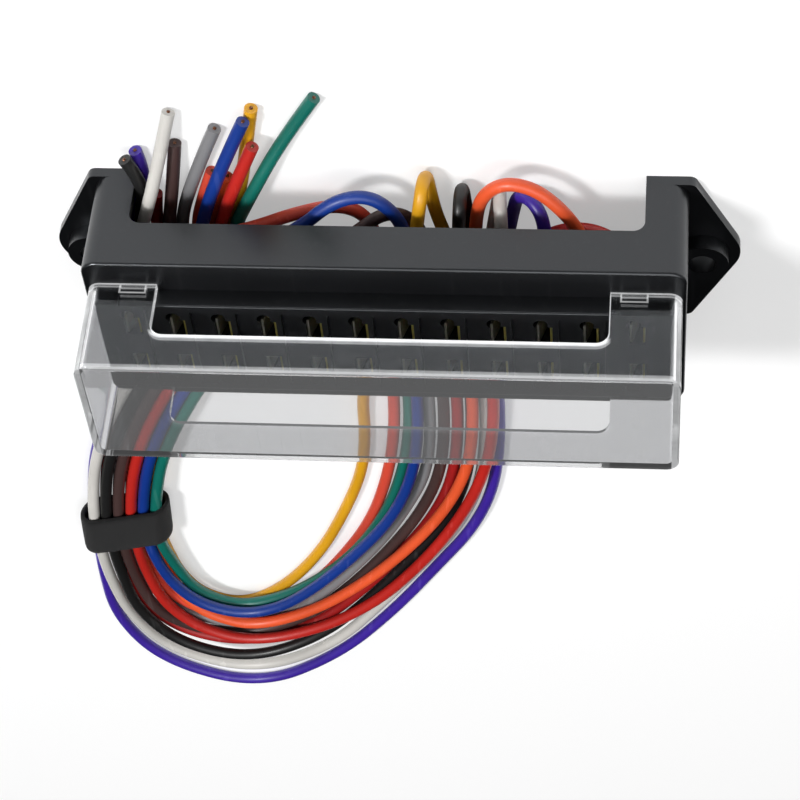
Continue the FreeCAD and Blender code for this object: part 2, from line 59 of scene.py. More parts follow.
# Lead routes in millimetres, from the terminal to the bare end. They follow the CAD's routes, and
# some arches, hairpins and ends are moved by a few millimetres.
ROUTES = {
    "salmon": [
        (58.85, -7, 17.2), (58.85, -7, 13.9), (56.8, -8.6, 11.7), (51.2, -10.6, 10.9),
        (43, -11.8, 10.2), (33, -13.2, 8.4), (22, -16.4, 6), (11.5, -17, 3.6), (5.2, -9.5, 1.9),
        (4.2, 6, 1.7), (5, 26, 1.7), (4.4, 50, 1.7), (5.4, 76, 1.7), (8.8, 99, 1.7),
        (15.6, 124, 1.7), (28.5, 149, 1.7), (42, 168, 1.7), (57, 177, 1.7), (70.5, 174.6, 1.7),
        (79.6, 163.6, 1.7), (83, 146.5, 1.7), (83.2, 130, 3), (82.2, 112, 3), (77.2, 88, 1.7),
        (64.8, 60, 1.7), (54.2, 42, 1.7), (45.7, 26, 1.7), (47.6, 10, 1.7), (48.2, -5, 1.7),
        (44.8, -17, 1.7), (41.6, -26, 1.7)],
    "green": [
        (48.15, -7, 17.2), (48.15, -7, 14.1), (46.2, -5.8, 11.6), (40.6, -2.4, 11.6),
        (31, 3, 11.2), (19, 9.5, 9.2), (8.6, 20, 6.6), (1.8, 33, 4.8), (0.6, 50, 1.7),
        (1.4, 76, 1.7), (4.6, 97, 2), (10.4, 115, 4.6), (20, 134, 5.2), (32, 150, 5.1),
        (45, 161.2, 5.1), (58, 166.2, 5.1), (69.8, 158, 5.1), (74, 142, 5.2), (76, 128, 6.4),
        (74.6, 112, 6.4), (69.2, 88, 5.2), (57.2, 60, 5.1), (46.8, 42, 5.1), (38.6, 26, 5.1),
        (38.6, 9, 5.1), (39, -7, 5.1), (32.4, -21.5, 4.4), (23.8, -37.6, 1.8), (15.1, -52, 1.7)],
    "blue": [
        (37.45, -7, 17.2), (37.45, -7, 14.1), (35.6, -8.2, 11.6), (30.4, -10.8, 11.5),
        (21.2, -16.4, 11), (12.2, -25.6, 9.8), (3.4, -26.6, 8.8), (-3.2, -17.4, 8.8), (-4, -4, 8.8),
        (-1.8, 12, 8.7), (-1.4, 28, 7.4), (-2, 48, 4.9), (-1.2, 74, 4.8), (2, 96, 5.4),
        (9, 114, 7.6), (20.5, 131.5, 8.6), (33, 149, 8.6), (44.5, 160.8, 8.6), (56, 165, 8.6),
        (68, 160, 8.5), (75.6, 147.4, 8.2), (79.5, 130, 6.4), (78.2, 112, 6.4), (72.8, 88, 5.2),
        (60.9, 60, 5.1), (50.5, 42, 5.3), (43.2, 27.5, 8.2), (44.6, 12, 8.6), (47.6, -2, 8.2),
        (44.8, -14, 5.4), (38.6, -31, 5.1), (31.5, -47.4, 5.1)],
    "grey": [
        (26.75, -7, 17.2), (26.75, -7, 14.1), (24.6, -6.4, 11.6), (19, -5, 10.2), (12, -3.6, 8),
        (4, -1.8, 5.4), (-1.6, 5, 2.4), (-2.8, 18, 1.7), (-3.6, 34, 1.7), (-4.4, 54, 1.7),
        (-4, 78, 1.7), (-1.4, 99, 1.7), (5, 116, 1.7), (13, 133, 1.7), (26, 154, 1.7),
        (40.5, 173, 1.7), (57, 182.2, 1.7), (72, 178.6, 1.7), (82.6, 166, 1.7), (86.2, 147, 1.7),
        (86.7, 130, 3), (85.7, 112, 3), (80.8, 88, 1.7), (68.6, 60, 1.7), (58, 42, 1.7),
        (49.4, 26, 1.7), (51.4, 10, 1.7), (52.2, -6, 1.7), (46.2, -24.4, 1.7), (39.2, -41.1, 1.7)],
    "brown": [
        (16.05, -7, 17.2), (16.05, -7, 13.9), (14.2, -9.2, 11.3), (8.6, -12.4, 8.8),
        (0.8, -17.6, 6), (-5.6, -10.6, 2.8), (-7.4, 2, 1.7), (-6.6, 18, 1.7), (-7, 36, 1.7),
        (-8.2, 54, 1.7), (-7.7, 78, 1.7), (-5, 100, 1.7), (1.2, 118, 1.7), (9.6, 135, 1.7),
        (23, 157, 1.7), (38.5, 177, 1.7), (57, 187.4, 1.7), (72, 184.8, 2.4), (82.6, 171.4, 4.8),
        (86, 152, 5.2), (86.5, 131, 6.4), (85.2, 112, 6.4), (80.2, 88, 5.2), (68.5, 60, 5.1),
        (57.9, 42, 5.1), (49.8, 26, 5.1), (51.8, 9, 5.1), (54.6, -6, 5.1), (51.4, -22, 3.4),
        (49.2, -35.9, 1.7)],
    "dark_red": [
        (5.35, -7, 17.2), (5.35, -7, 13.9), (4.5, -8.4, 10.9), (1.4, -8.6, 7.4), (-3.4, -5, 5.15),
        (-8, 1.8, 5.3), (-10.4, 9.5, 3.5), (-10.8, 18, 1.7), (-10.6, 32, 1.7), (-11.8, 54, 1.7),
        (-11.3, 78, 1.7), (-8.6, 101, 1.7), (-2.3, 120, 1.7), (6.6, 137, 1.7), (20.2, 160, 1.7),
        (37, 181.5, 1.7), (57, 192.6, 1.7), (76.4, 188, 1.7), (87.4, 171.6, 1.7), (90, 149, 1.7),
        (90.2, 130, 3), (89.2, 112, 3), (84.4, 88, 1.7), (72.4, 60, 1.7), (61.8, 42, 1.7),
        (53.1, 26, 1.7), (56, 11, 1.7), (58.4, -3.4, 1.7), (56.2, -17.6, 1.7)],
    "yellow": [
        (-5.35, -7, 17.2), (-5.35, -7, 13.9), (-5.7, -9.4, 11.5), (-6.4, -14.5, 10.6),
        (-7.2, -20.4, 9.9), (-7.9, -25, 9.2), (-8.3, -27.2, 7), (-8.6, -27.2, 3.95),
        (-9, -25.05, 1.75), (-9.4, -20, 1.7), (-10.4, -11.5, 1.7), (-12.6, -2, 1.7),
        (-14.4, 6.5, 3.4), (-12.4, 15, 6.6), (-7.5, 24, 9.8), (-0.6, 33, 11), (6, 42, 8.8),
        (11, 52, 4.8), (13.2, 64, 1.8), (13.6, 80, 1.7), (16, 98.5, 1.7), (22.2, 118, 1.7),
        (31, 140, 1.7), (43.5, 160, 1.7), (57, 170.5, 1.7), (68.6, 165.4, 1.7), (73.8, 153.8, 1.7),
        (75.6, 142, 1.7), (76.3, 130, 3), (75.2, 112, 3), (70, 88, 1.7), (57.2, 60, 1.7),
        (46.6, 42, 1.7), (38.2, 26, 1.7), (39.4, 10, 1.7), (40, -5.4, 1.7), (35.4, -20.4, 1.7),
        (32.4, -35.6, 1.7), (29.9, -48.2, 1.7)],
    "black": [
        (-16.05, -7, 17.2), (-16.05, -7, 13.9), (-16.2, -9.4, 11.5), (-16.4, -14, 10.4),
        (-16.6, -18, 9.7), (-16.8, -21, 9.1), (-16.9, -22.9, 6.9), (-17, -22.9, 3.85),
        (-17.2, -20.8, 1.7), (-17.5, -16.2, 1.7), (-18, -8, 1.7), (-18, 5, 1.7), (-16.8, 19, 1.7),
        (-14.8, 34, 1.7), (-15.4, 54, 1.7), (-14.9, 78, 1.7), (-12.2, 102, 1.7), (-5.8, 122, 1.7),
        (3.6, 139, 1.7), (17.6, 163, 1.7), (35, 186.6, 2.4), (57, 196.8, 5.1), (77.5, 189.4, 5.2),
        (88.4, 170, 5.2), (90, 148, 5.2), (89.8, 130, 6.4), (88.7, 112, 6.4), (83.9, 88, 5.2),
        (72.3, 60, 5.1), (61.7, 42, 5.1), (53.6, 26, 5.1), (57, 12, 5.1), (60.6, -1, 5.1),
        (60.4, -12.4, 5.1), (57.4, -24.6, 5.1), (61, -33.6, 5.1)],
    "white": [
        (-26.75, -7, 17.2), (-26.75, -7, 14.1), (-26.7, -9.2, 11.5), (-26.6, -12.8, 10.4),
        (-26.5, -16.4, 9.8), (-26.4, -19.6, 9.1), (-26.2, -21.7, 6.9), (-26, -21.7, 3.85),
        (-25.7, -19.65, 1.7), (-25, -14.8, 1.7), (-23.6, -6, 1.7), (-21.8, 7, 1.7),
        (-20.2, 24, 1.7), (-18.4, 40, 1.7), (-19, 58, 1.7), (-18.5, 80, 1.7), (-15.8, 104, 1.7),
        (-9.2, 124, 1.7), (0.4, 141.4, 1.7), (15, 166.4, 1.7), (32.4, 193, 1.7), (57, 209.4, 1.7),
        (81.4, 199.6, 1.7), (92, 177, 2.6), (93.9, 150, 5), (93.3, 130, 6.4), (92.2, 112, 6.4),
        (87.6, 88, 5.2), (76.1, 60, 5.1), (65.6, 42, 5.1), (57.8, 27.5, 6.4), (58.8, 14, 8.6),
        (61.4, 0, 8.8), (59.8, -12, 9), (55.8, -24, 8.6), (52.2, -36, 5), (49.2, -46.7, 1.8)],
    "violet": [
        (-37.45, -7, 17.2), (-37.45, -7, 13.9), (-37, -9.4, 11.5), (-36.8, -14.6, 10.2),
        (-35.8, -19.8, 8), (-33, -21.8, 5), (-30, -19.6, 2.4), (-28.8, -13.4, 1.7),
        (-27.4, -5, 1.7), (-25, 7, 1.7), (-23.6, 24, 1.7), (-22, 40, 1.7), (-22.6, 60, 1.7),
        (-22.1, 82, 1.7), (-19.4, 106, 1.7), (-12.8, 126, 1.7), (-2.8, 144, 1.7), (12, 170.6, 1.7),
        (31, 198.4, 1.7), (57.5, 219, 1.7), (85, 206, 1.7), (96.6, 180.6, 1.7), (96.4, 151, 1.7),
        (93.9, 130, 3), (92.7, 112, 3), (88, 88, 1.7), (76.2, 60, 1.7), (65.6, 42, 1.7),
        (57, 26, 1.7), (60.6, 11, 1.7), (63, -2, 1.7), (61.6, -13, 1.7), (57.5, -23.8, 1.7),
        (59, -33, 1.7)],
    "orange": [
        (-48.15, -7, 17.2), (-48.15, -7, 13.9), (-47.4, -9.4, 11.5), (-45.4, -14.4, 10.2),
        (-41.2, -22.4, 9.4), (-34.8, -29, 8.3), (-27.4, -30.4, 7.6), (-21.8, -24.2, 6.8),
        (-20, -13, 5.6), (-19.4, 2, 5.1), (-17.6, 20, 5.1), (-16, 40, 5.1), (-16.2, 60, 5.1),
        (-14.8, 82, 5.1), (-11, 99, 5.1), (-4, 116, 5.1), (6.6, 134, 5.1), (20, 152, 5.1),
        (36, 168, 5.1), (54, 177.6, 5.1), (66.5, 172, 5.1), (73, 164.8, 4.2), (77.3, 154, 2),
        (79.2, 143, 1.7), (79.8, 130, 3), (78.7, 112, 3), (73.6, 88, 1.7), (61, 60, 1.7),
        (50.4, 42, 1.7), (42, 26, 1.7), (43.6, 10, 1.7), (44.2, -5, 1.7), (41.5, -15.4, 1.7),
        (38.3, -24.2, 1.7)],
    "red": [
        (-58.85, -7, 17.2), (-58.85, -7, 13.9), (-57.6, -8.8, 11.4), (-53.6, -11.4, 8.9),
        (-47, -13.2, 6.8), (-39.5, -11.2, 5.7), (-32.5, -4.5, 5.2), (-27, 8, 5.1),
        (-23.4, 24, 5.1), (-21.4, 42, 5.1), (-21.6, 62, 5.1), (-19.8, 82, 5.1), (-16, 99, 5.1),
        (-9, 118, 5.1), (1.6, 139, 5.1), (16, 161, 5.1), (34, 177.6, 5.1), (55, 186.6, 5.1),
        (70, 180.4, 5.1), (79.4, 166.8, 5.1), (82.3, 149, 5.2), (82.8, 130, 6.4), (81.7, 112, 6.4),
        (76.4, 88, 5.2), (64.7, 60, 5.1), (54.2, 42, 5.1), (46, 26, 5.1), (44, 10, 5.1),
        (43, -5, 5.1), (37.6, -21.2, 5.1), (30.3, -38.8, 5.1)],
}

# Length and insulation colour of each lead.
LEADS = {
    "salmon": (0.490, (0.600, 0.060, 0.032)),
    "green": (0.459, (0.001, 0.125, 0.095)),
    "blue": (0.490, (0.002, 0.028, 0.210)),
    "grey": (0.482, (0.185, 0.185, 0.192)),
    "brown": (0.499, (0.050, 0.026, 0.024)),
    "dark_red": (0.476, (0.300, 0.008, 0.008)),
    "yellow": (0.483, (0.640, 0.310, 0.006)),
    "black": (0.524, (0.007, 0.007, 0.007)),
    "white": (0.562, (0.520, 0.505, 0.475)),
    "violet": (0.567, (0.040, 0.014, 0.280)),
    "orange": (0.494, (0.700, 0.085, 0.022)),
    "red": (0.505, (0.430, 0.014, 0.009)),
}

# The bare strands at a lead's end: depth, how far their middle lies behind the end, and taper.
STRAND_DEPTH = 0.0008
STRAND_SETBACK = 0.0001
STRAND_TAPER = 0.92

# Distance from one way of the block to the next.
WAY_PITCH = 0.0107

# The clear cover: its wall, the cut-out in each long wall (half width, top, corner radius) and its
# lugs (distance from the middle, half width, top).
COVER_WALL = 0.0017
COVER_WINDOW = (0.0525, 0.0435, 0.003)
COVER_LUG = (0.058, 0.003, 0.0316)

# Lines of painted glow on the cover, each as middle, half width and soft edge: along the rim and
# the cut-out's outline, above the cut-out only, and round the lugs.
RIM_LINE = (COVER_LOW.z, 0.0003, 0.0003)
OUTLINE_BAND = (0.0004, 0.0005, 0.0002)
OUTLINE_TOP = (COVER_WINDOW[1] + 0.0005, 0.0014, 0.0006)
OUTLINE_LINE = (0.0, 0.00012, 0.00015)
LUG_LINE = (0.0, 0.00014, 0.00015)

# Shares of that painted glow that the end walls and the back wall keep.
END_SHARE = 0.7
BACK_SHARE = 0.12

# The band round the leads: middle in X and Y, thickness, length along the leads, turn about Z,
# slant of its rims, points round it, pitch of its threads and the room inside it.
STRAP_MIDDLE = (0.0843, 0.1225)
STRAP_THICKNESS = 0.0012
STRAP_LENGTH = 0.0160
STRAP_TURN = -math.radians(4.0)
STRAP_SLANT = math.radians(20.0)
STRAP_POINTS = 192
THREAD = 0.0007
BUNDLE_WIDTH = 0.0234
BUNDLE_HEIGHT = 0.007

# How far the band dips between two leads, how far it sags in waves along and round it, and the
# share of its thickness that it may sink at most.
STRAP_DIP, LEAD_PITCH = 0.00003, 0.0034
STRAP_SAG, SAG_ALONG, SAG_ROUND = 0.00005, 5, 0.11
SUNK_SHARE = 0.3

# Rows along the band: share of its length, and how far the section draws in at the rims.
STRAP_ROWS = ((0.0, 0.00030), (0.03, 0.00010), (0.1, 0.0), (0.3, 0.0), (0.5, 0.0), (0.7, 0.0),
              (0.9, 0.0), (0.97, 0.00010), (1.0, 0.00030))

# The camera: its axes and its place in the frame of the part, its sensor in millimetres and how
# near and far it sees.
CAMERA_RIGHT = Vector((-0.99479, 0.06777, -0.07614))
CAMERA_UP = Vector((0.02261, -0.58157, -0.81318))
CAMERA_LOOK = Vector((0.09939, 0.81067, -0.57701))
CAMERA_PLACE = Vector((-0.06593, -0.50100, 0.40460))
SENSOR_WIDTH = 36.0
CLIP_START, CLIP_END = 0.01, 20.0
FLOOR_REACH = 6.0

# Lamps: name, place, target, width, height and power in watts.
LAMPS = (("key", (0.62, -0.52, 1.10), (0.0, 0.03, 0.0), 0.22, 0.22, 15.0),
         ("fill", (-0.25, -0.25, 1.05), (0.0, 0.05, 0.0), 0.9, 0.7, 6.0))

BLACK = (0.0, 0.0, 0.0, 1.0)
WHITE = (1.0, 1.0, 1.0, 1.0)

# The mix node's own factor and its sockets for colours.
MIX_FACTOR, MIX_FIRST, MIX_SECOND, MIX_RESULT = 0, 6, 7, 2


def set_inputs(tree, node, values):
    """Put numbers, colours or other nodes' outputs on a node's inputs."""
    for key, value in values.items():
        if isinstance(value, bpy.types.NodeSocket):
            tree.links.new(value, node.inputs[key])
        else:
            node.inputs[key].default_value = value


def add_node(tree, kind, inputs=None, **settings):
    node = tree.nodes.new(kind)
    for key, value in settings.items():
        setattr(node, key, value)
    set_inputs(tree, node, inputs or {})
    return node


def new_material(name):
    material = bpy.data.materials.new(name)
    material.use_nodes = True
    tree = material.node_tree
    return material, tree, tree.nodes["Principled BSDF"]


def rgba(colour, gain=1.0, lift=0.0):
    """A colour with its alpha, made stronger by a gain and paler by a lift."""
    return (*[min(1.0, c * gain + lift) for c in colour], 1.0)


def colour_ramp(tree, value, low, high, dark=BLACK, light=WHITE):
    """Carry a value from low to high onto the colours from dark to light."""
    ramp = add_node(tree, "ShaderNodeValToRGB", {"Fac": value})
    ends = ramp.color_ramp.elements
    ends[0].position, ends[0].color = low, dark
    ends[1].position, ends[1].color = high, light
    return ramp.outputs["Color"]


def map_range(tree, value, start, end, first=0.0, last=1.0):
    """Carry a value from start to end onto the numbers from first to last."""
    node = add_node(tree, "ShaderNodeMapRange", {
        "Value": value, "From Min": start, "From Max": end, "To Min": first, "To Max": last})
    return node.outputs["Result"]


def mix_colours(tree, factor, first, second, blend_type="MIX"):
    node = add_node(tree, "ShaderNodeMix", data_type="RGBA", blend_type=blend_type)
    set_inputs(tree, node, {MIX_FACTOR: factor, MIX_FIRST: first, MIX_SECOND: second})
    return node.outputs[MIX_RESULT]


def math_node(tree, operation, *values):
    """The result of a sum whose values are numbers or other nodes' outputs."""
    node = add_node(tree, "ShaderNodeMath", dict(enumerate(values)), operation=operation)
    return node.outputs[0]


def noise_node(tree, where, **inputs):
    """A noise texture at the given coordinates."""
    return add_node(tree, "ShaderNodeTexNoise", {"Vector": where, **inputs})


def bump(tree, height, distance, strength):
    """A normal that follows a height."""
    node = add_node(tree, "ShaderNodeBump", {
        "Height": height, "Distance": distance, "Strength": strength})
    return node.outputs["Normal"]


def split_axes(tree, vector):
    return add_node(tree, "ShaderNodeSeparateXYZ", {"Vector": vector}).outputs


def coordinates(tree, kind="Object"):
    return add_node(tree, "ShaderNodeTexCoord").outputs[kind]


def face_direction(tree):
    """The three axes of the direction that a face looks in."""
    return split_axes(tree, add_node(tree, "ShaderNodeNewGeometry").outputs["True Normal"])


def widest(tree, *masks):
    """The largest of several masks."""
    total = masks[0]
    for mask in masks[1:]:
        total = math_node(tree, "MAXIMUM", total, mask)
    return total


def common(tree, *masks):
    """What several masks have in common: their product."""
    total = masks[0]
    for mask in masks[1:]:
        total = math_node(tree, "MULTIPLY", total, mask)
    return total


def group_frame(name, inputs, outputs):
    """A new node group of numbers: its tree, what is given to it and what it results in."""
    group = bpy.data.node_groups.new(name, "ShaderNodeTree")
    for label, value in inputs.items():
        socket = group.interface.new_socket(
            name=label, in_out="INPUT", socket_type="NodeSocketFloat")
        socket.default_value = value
    for label in outputs:
        group.interface.new_socket(name=label, in_out="OUTPUT", socket_type="NodeSocketFloat")
    return group, group.nodes.new("NodeGroupInput").outputs, group.nodes.new("NodeGroupOutput")


def moulded_grain_group(name):
    """Fine mould texture with slow variation: gives a height, a roughness and a shade mask."""
    group, given, result = group_frame(
        name, {"Scale": 900.0, "Roughness": 0.35, "Spread": 0.10},
        ("Height", "Roughness", "Shade"))
    where = coordinates(group)
    fine = noise_node(group, where, Scale=given["Scale"], Detail=4.0, Roughness=0.6)
    slow = noise_node(group, where, Scale=38.0, Detail=3.0)
    centred = math_node(group, "SUBTRACT", slow.outputs["Fac"], 0.5)
    spread = math_node(group, "MULTIPLY", centred, given["Spread"])
    set_inputs(group, result, {
        "Height": fine.outputs["Fac"],
        "Roughness": math_node(group, "ADD", spread, given["Roughness"]),
        "Shade": slow.outputs["Fac"]})
    return group


def rub_marks_group(name):
    """Thin short scratches in two directions, as a mask between 0 and 1."""
    group, given, result = group_frame(name, {"Scale": 160.0, "Amount": 0.5}, ("Mask",))
    where = coordinates(group)
    marks = []
    for turn in (0.5, -0.9):
        turned = add_node(group, "ShaderNodeMapping", {
            "Vector": where, "Rotation": (0.0, 0.0, turn), "Scale": (1.0, 0.05, 1.0)})
        noise = noise_node(group, turned.outputs["Vector"], Scale=given["Scale"], Detail=2.0)
        marks.append(colour_ramp(group, noise.outputs["Fac"], 0.66, 0.70))
    mask = math_node(group, "MULTIPLY", widest(group, *marks), given["Amount"])
    set_inputs(group, result, {"Mask": mask})
    return group


def dust_group(name):
    """Dust that gathers on faces that look up: a mask between 0 and 1."""
    group, given, result = group_frame(name, {"Amount": 0.2, "Scale": 420.0}, ("Mask",))
    specks = noise_node(group, coordinates(group), Scale=given["Scale"], Detail=6.0,
                        Roughness=0.75)
    spots = colour_ramp(group, specks.outputs["Fac"], 0.52, 0.78)
    up = math_node(group, "MAXIMUM", face_direction(group)["Z"], 0.0)
    set_inputs(group, result, {"Mask": common(group, spots, up, given["Amount"])})
    return group


GROUPS = {"Moulded Grain": moulded_grain_group, "Rub Marks": rub_marks_group,
          "Settled Dust": dust_group}


def place_group(tree, name, **values):
    """The outputs of a node group that all materials share; its first use makes it."""
    group = bpy.data.node_groups.get(name) or GROUPS[name](name)
    return add_node(tree, "ShaderNodeGroup", values, node_tree=group).outputs


def paint_node(node, material):
    """Give a CAD node one material all over."""
    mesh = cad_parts[node].data
    mesh.materials.clear()
    mesh.materials.append(material)


def black_moulding(colour, roughness, grain_scale):
    """Black moulded plastic: satin, faint grain, a few hairline rubs and a little dust."""
    material, tree, shader = new_material("Black moulding")
    grain = place_group(tree, "Moulded Grain", Scale=grain_scale, Roughness=roughness,
                        Spread=0.08)
    marks = place_group(tree, "Rub Marks", Scale=520.0, Amount=0.10)
    dust = place_group(tree, "Settled Dust", Amount=0.06, Scale=900.0)
    shade = colour_ramp(tree, grain["Shade"], 0.3, 0.7, rgba(colour, 0.85), rgba(colour, 1.2))
    worn = mix_colours(tree, marks["Mask"], shade, (0.03, 0.03, 0.032, 1.0))
    set_inputs(tree, shader, {
        "Base Color": mix_colours(tree, dust["Mask"], worn, (0.05, 0.049, 0.046, 1.0)),
        "Roughness": grain["Roughness"],
        "Normal": bump(tree, grain["Height"], 0.00002, 0.4),
        "IOR": 1.62,
        "Specular Tint": (0.91, 0.95, 1.0, 1.0)})
    return material


def band_mask(tree, value, centre, half, soft):
    """1 where the value lies within half of the centre, falling to 0 over the soft width."""
    away = math_node(tree, "ABSOLUTE", math_node(tree, "SUBTRACT", value, centre))
    return map_range(tree, away, half + soft, half)


def window_outline(tree, across, height, half, top, corner):
    """Distance from the cut-out's outline in the long walls: below 0 inside the opening."""
    squares = []
    for value, limit in ((across, half - corner), (height, top - corner)):
        beyond = math_node(tree, "MAXIMUM", math_node(tree, "SUBTRACT", value, limit), 0.0)
        squares.append(math_node(tree, "POWER", beyond, 2.0))
    reach = math_node(tree, "SQRT", math_node(tree, "ADD", *squares))
    return math_node(tree, "SUBTRACT", reach, corner)


def lug_outline(tree, across, height, middle, half, top):
    """Distance from the outline of a lug: below 0 on the lug itself."""
    away = math_node(tree, "ABSOLUTE", math_node(tree, "SUBTRACT", across, middle))
    beside = math_node(tree, "SUBTRACT", away, half)
    return math_node(tree, "MAXIMUM", beside, math_node(tree, "SUBTRACT", height, top))


def cover_edges(tree, across, along, height, upright, level):
    """Mask of the cover's corners, rim, cut-out outlines and lug outlines, where the painted glow
    goes.
    """
    half_x, half_y, top = COVER_HIGH
    half_wall, core, soft = COVER_WALL / 2, COVER_WALL * 0.45, COVER_WALL * 0.2
    ends = band_mask(tree, across, half_x - half_wall, core, soft)
    sides = band_mask(tree, along, half_y - half_wall, core, soft)
    roof = band_mask(tree, height, top - half_wall, core, soft)
    rim = band_mask(tree, height, *RIM_LINE)
    walls = band_mask(tree, along, half_y, COVER_WALL * 1.1, COVER_WALL * 0.1)
    skin = band_mask(tree, along, half_y, COVER_WALL * 0.2, COVER_WALL * 0.1)
    opening = window_outline(tree, across, height, *COVER_WINDOW)
    upper = band_mask(tree, height, *OUTLINE_TOP)
    broad = common(tree, band_mask(tree, opening, *OUTLINE_BAND), upper)
    fine = band_mask(tree, opening, *OUTLINE_LINE)
    lugs = band_mask(tree, lug_outline(tree, across, height, *COVER_LUG), *LUG_LINE)
    edges = widest(tree,
                   common(tree, ends, sides),
                   common(tree, widest(tree, ends, sides), roof, upright),
                   common(tree, ends, roof, level),
                   common(tree, widest(tree, broad, fine), walls),
                   common(tree, lugs, skin),
                   rim)
    return edges, ends


def clear_moulding(roughness, painted_edge_glow, painted_reflection):
    """Clear plastic: painted whitish glow on corners and cut faces, less at the back, painted
    reflection on level faces.
    """
    material, tree, shader = new_material("Clear moulding")
    where = coordinates(tree)
    place = split_axes(tree, where)
    rise = math_node(tree, "ABSOLUTE", face_direction(tree)["Z"])
    upright = band_mask(tree, rise, 0.0, 0.3, 0.3)
    level = band_mask(tree, rise, 1.0, 0.2, 0.2)
    across, along = [math_node(tree, "ABSOLUTE", place[axis]) for axis in "XY"]
    edges, ends = cover_edges(tree, across, along, place["Z"], upright, level)
    cloud = noise_node(tree, where, Scale=260.0, Detail=3.0)
    uneven = map_range(tree, cloud.outputs["Fac"], 0.3, 0.7, 0.75, 1.0)
    # The painted glow fades from the front wall to a small share at the back wall; the end walls
    # keep a fixed share of it.
    front = map_range(tree, place["Y"], 0.0, COVER_HIGH.y * 0.9, 1.0, BACK_SHARE)
    kept = widest(tree, front, math_node(tree, "MULTIPLY", ends, END_SHARE))
    # Rub marks are real wear in the roughness, and in the emission they add a painted glint.
    marks = place_group(tree, "Rub Marks", Scale=1100.0, Amount=0.05)["Mask"]
    # Painted reflection: a faint glow on the level faces, standing in for the bright room that they
    # mirror.
    painted_reflection_mask = math_node(tree, "MULTIPLY", level, painted_reflection / painted_edge_glow)
    painted_glow_mask = widest(tree, common(tree, edges, uneven, kept), marks, painted_reflection_mask)
    # Colour of the painted glow.
    bright = (painted_edge_glow, painted_edge_glow * 1.01, painted_edge_glow * 1.02, 1.0)
    set_inputs(tree, shader, {
        # Grey tint, partly the plastic's own and partly painted shade: it darkens the floor and
        # leads seen through the cover.
        "Base Color": (0.66, 0.665, 0.675, 1.0),
        "Emission Color": colour_ramp(tree, painted_glow_mask, 0.0, 1.0, BLACK, bright),
        "Emission Strength": 1.0,
        "Roughness": math_node(tree, "MULTIPLY_ADD", marks, 0.2, roughness),
        "Transmission Weight": 1.0,
        "IOR": 1.46,
        "Specular Tint": (0.90, 0.95, 1.0, 1.0)})
    return material


def tinned_brass(pitch):
    """Blade clips: raw brass on one side of each way, tin on the other."""
    material, tree, shader = new_material("Tinned brass")
    where = coordinates(tree)
    shifted = math_node(tree, "ADD", split_axes(tree, where)["X"], pitch * 20)
    share = math_node(tree, "DIVIDE", math_node(tree, "MODULO", shifted, pitch), pitch)
    side = colour_ramp(tree, share, 0.40, 0.44, (0.62, 0.54, 0.16, 1.0), (0.50, 0.48, 0.40, 1.0))
    noise = noise_node(tree, where, Scale=700.0, Detail=5.0)
    set_inputs(tree, shader, {
        "Base Color": mix_colours(tree, 0.35, side, noise.outputs["Color"], "MULTIPLY"),
        "Roughness": colour_ramp(tree, noise.outputs["Fac"], 0.3, 0.7, rgba((0.30,) * 3),
                                 rgba((0.50,) * 3)),
        "Normal": bump(tree, noise.outputs["Fac"], 0.00002, 0.4),
        "Metallic": 1.0})
    return material


def insulation(name, colour, roughness):
    """Soft plastic insulation: satin, faintly uneven, with a few pale rubs."""
    material, tree, shader = new_material("Insulation " + name)
    grain = place_group(tree, "Moulded Grain", Scale=1300.0, Roughness=roughness, Spread=0.14)
    marks = place_group(tree, "Rub Marks", Scale=420.0, Amount=0.25)
    shade = colour_ramp(tree, grain["Shade"], 0.3, 0.7, rgba(colour, 0.88), rgba(colour, 1.1))
    set_inputs(tree, shader, {
        "Base Color": mix_colours(tree, marks["Mask"], shade, rgba(colour, 1.4, 0.06)),
        "Roughness": grain["Roughness"],
        "Normal": bump(tree, grain["Height"], 0.00002, 0.5),
        "Coat Weight": 0.08,
        "Coat Roughness": 0.25})
    return material


def copper_strands():
    """Ends of fine copper wires, side by side, with painted shade towards each strand's edge."""
    material, tree, shader = new_material("Copper strands")
    cells = add_node(tree, "ShaderNodeTexVoronoi", {"Vector": coordinates(tree), "Scale": 2600.0})
    away = cells.outputs["Distance"]
    # Painted shade: each strand's copper darkens from its middle to its edge and into the gaps
    # between strands.
    set_inputs(tree, shader, {
        "Base Color": colour_ramp(tree, away, 0.0, 0.5, (0.50, 0.26, 0.16, 1.0),
                                  (0.12, 0.05, 0.03, 1.0)),
        "Normal": bump(tree, away, 0.0001, 0.6),
        "Metallic": 1.0,
        "Roughness": 0.35})
    return material


def woven_band(colour, thread):
    """Tight narrow weave: ribs across the band and threads along it, from the band's UV map."""
    material, tree, shader = new_material("Woven band")
    place = split_axes(tree, coordinates(tree, "UV"))
    waves = []
    for axis, scale in (("X", 1.0), ("Y", 0.6)):
        turns = math_node(tree, "MULTIPLY", place[axis], 2 * math.pi / (thread * scale))
        waves.append(math_node(tree, "SINE", turns))
    weave = math_node(tree, "MULTIPLY_ADD", common(tree, *waves), 0.5, 0.5)
    # Painted shade and painted sheen: the band's colour darkens in the dips of the weave and
    # lightens on its crests, following the bump.
    set_inputs(tree, shader, {
        "Base Color": colour_ramp(tree, weave, 0.2, 0.8, rgba(colour, 0.6), rgba(colour, 1.7)),
        "Normal": bump(tree, weave, 0.00018, 0.9),
        "Roughness": 0.78,
        "Specular IOR Level": 0.25,
        "Sheen Weight": 0.06})
    return material


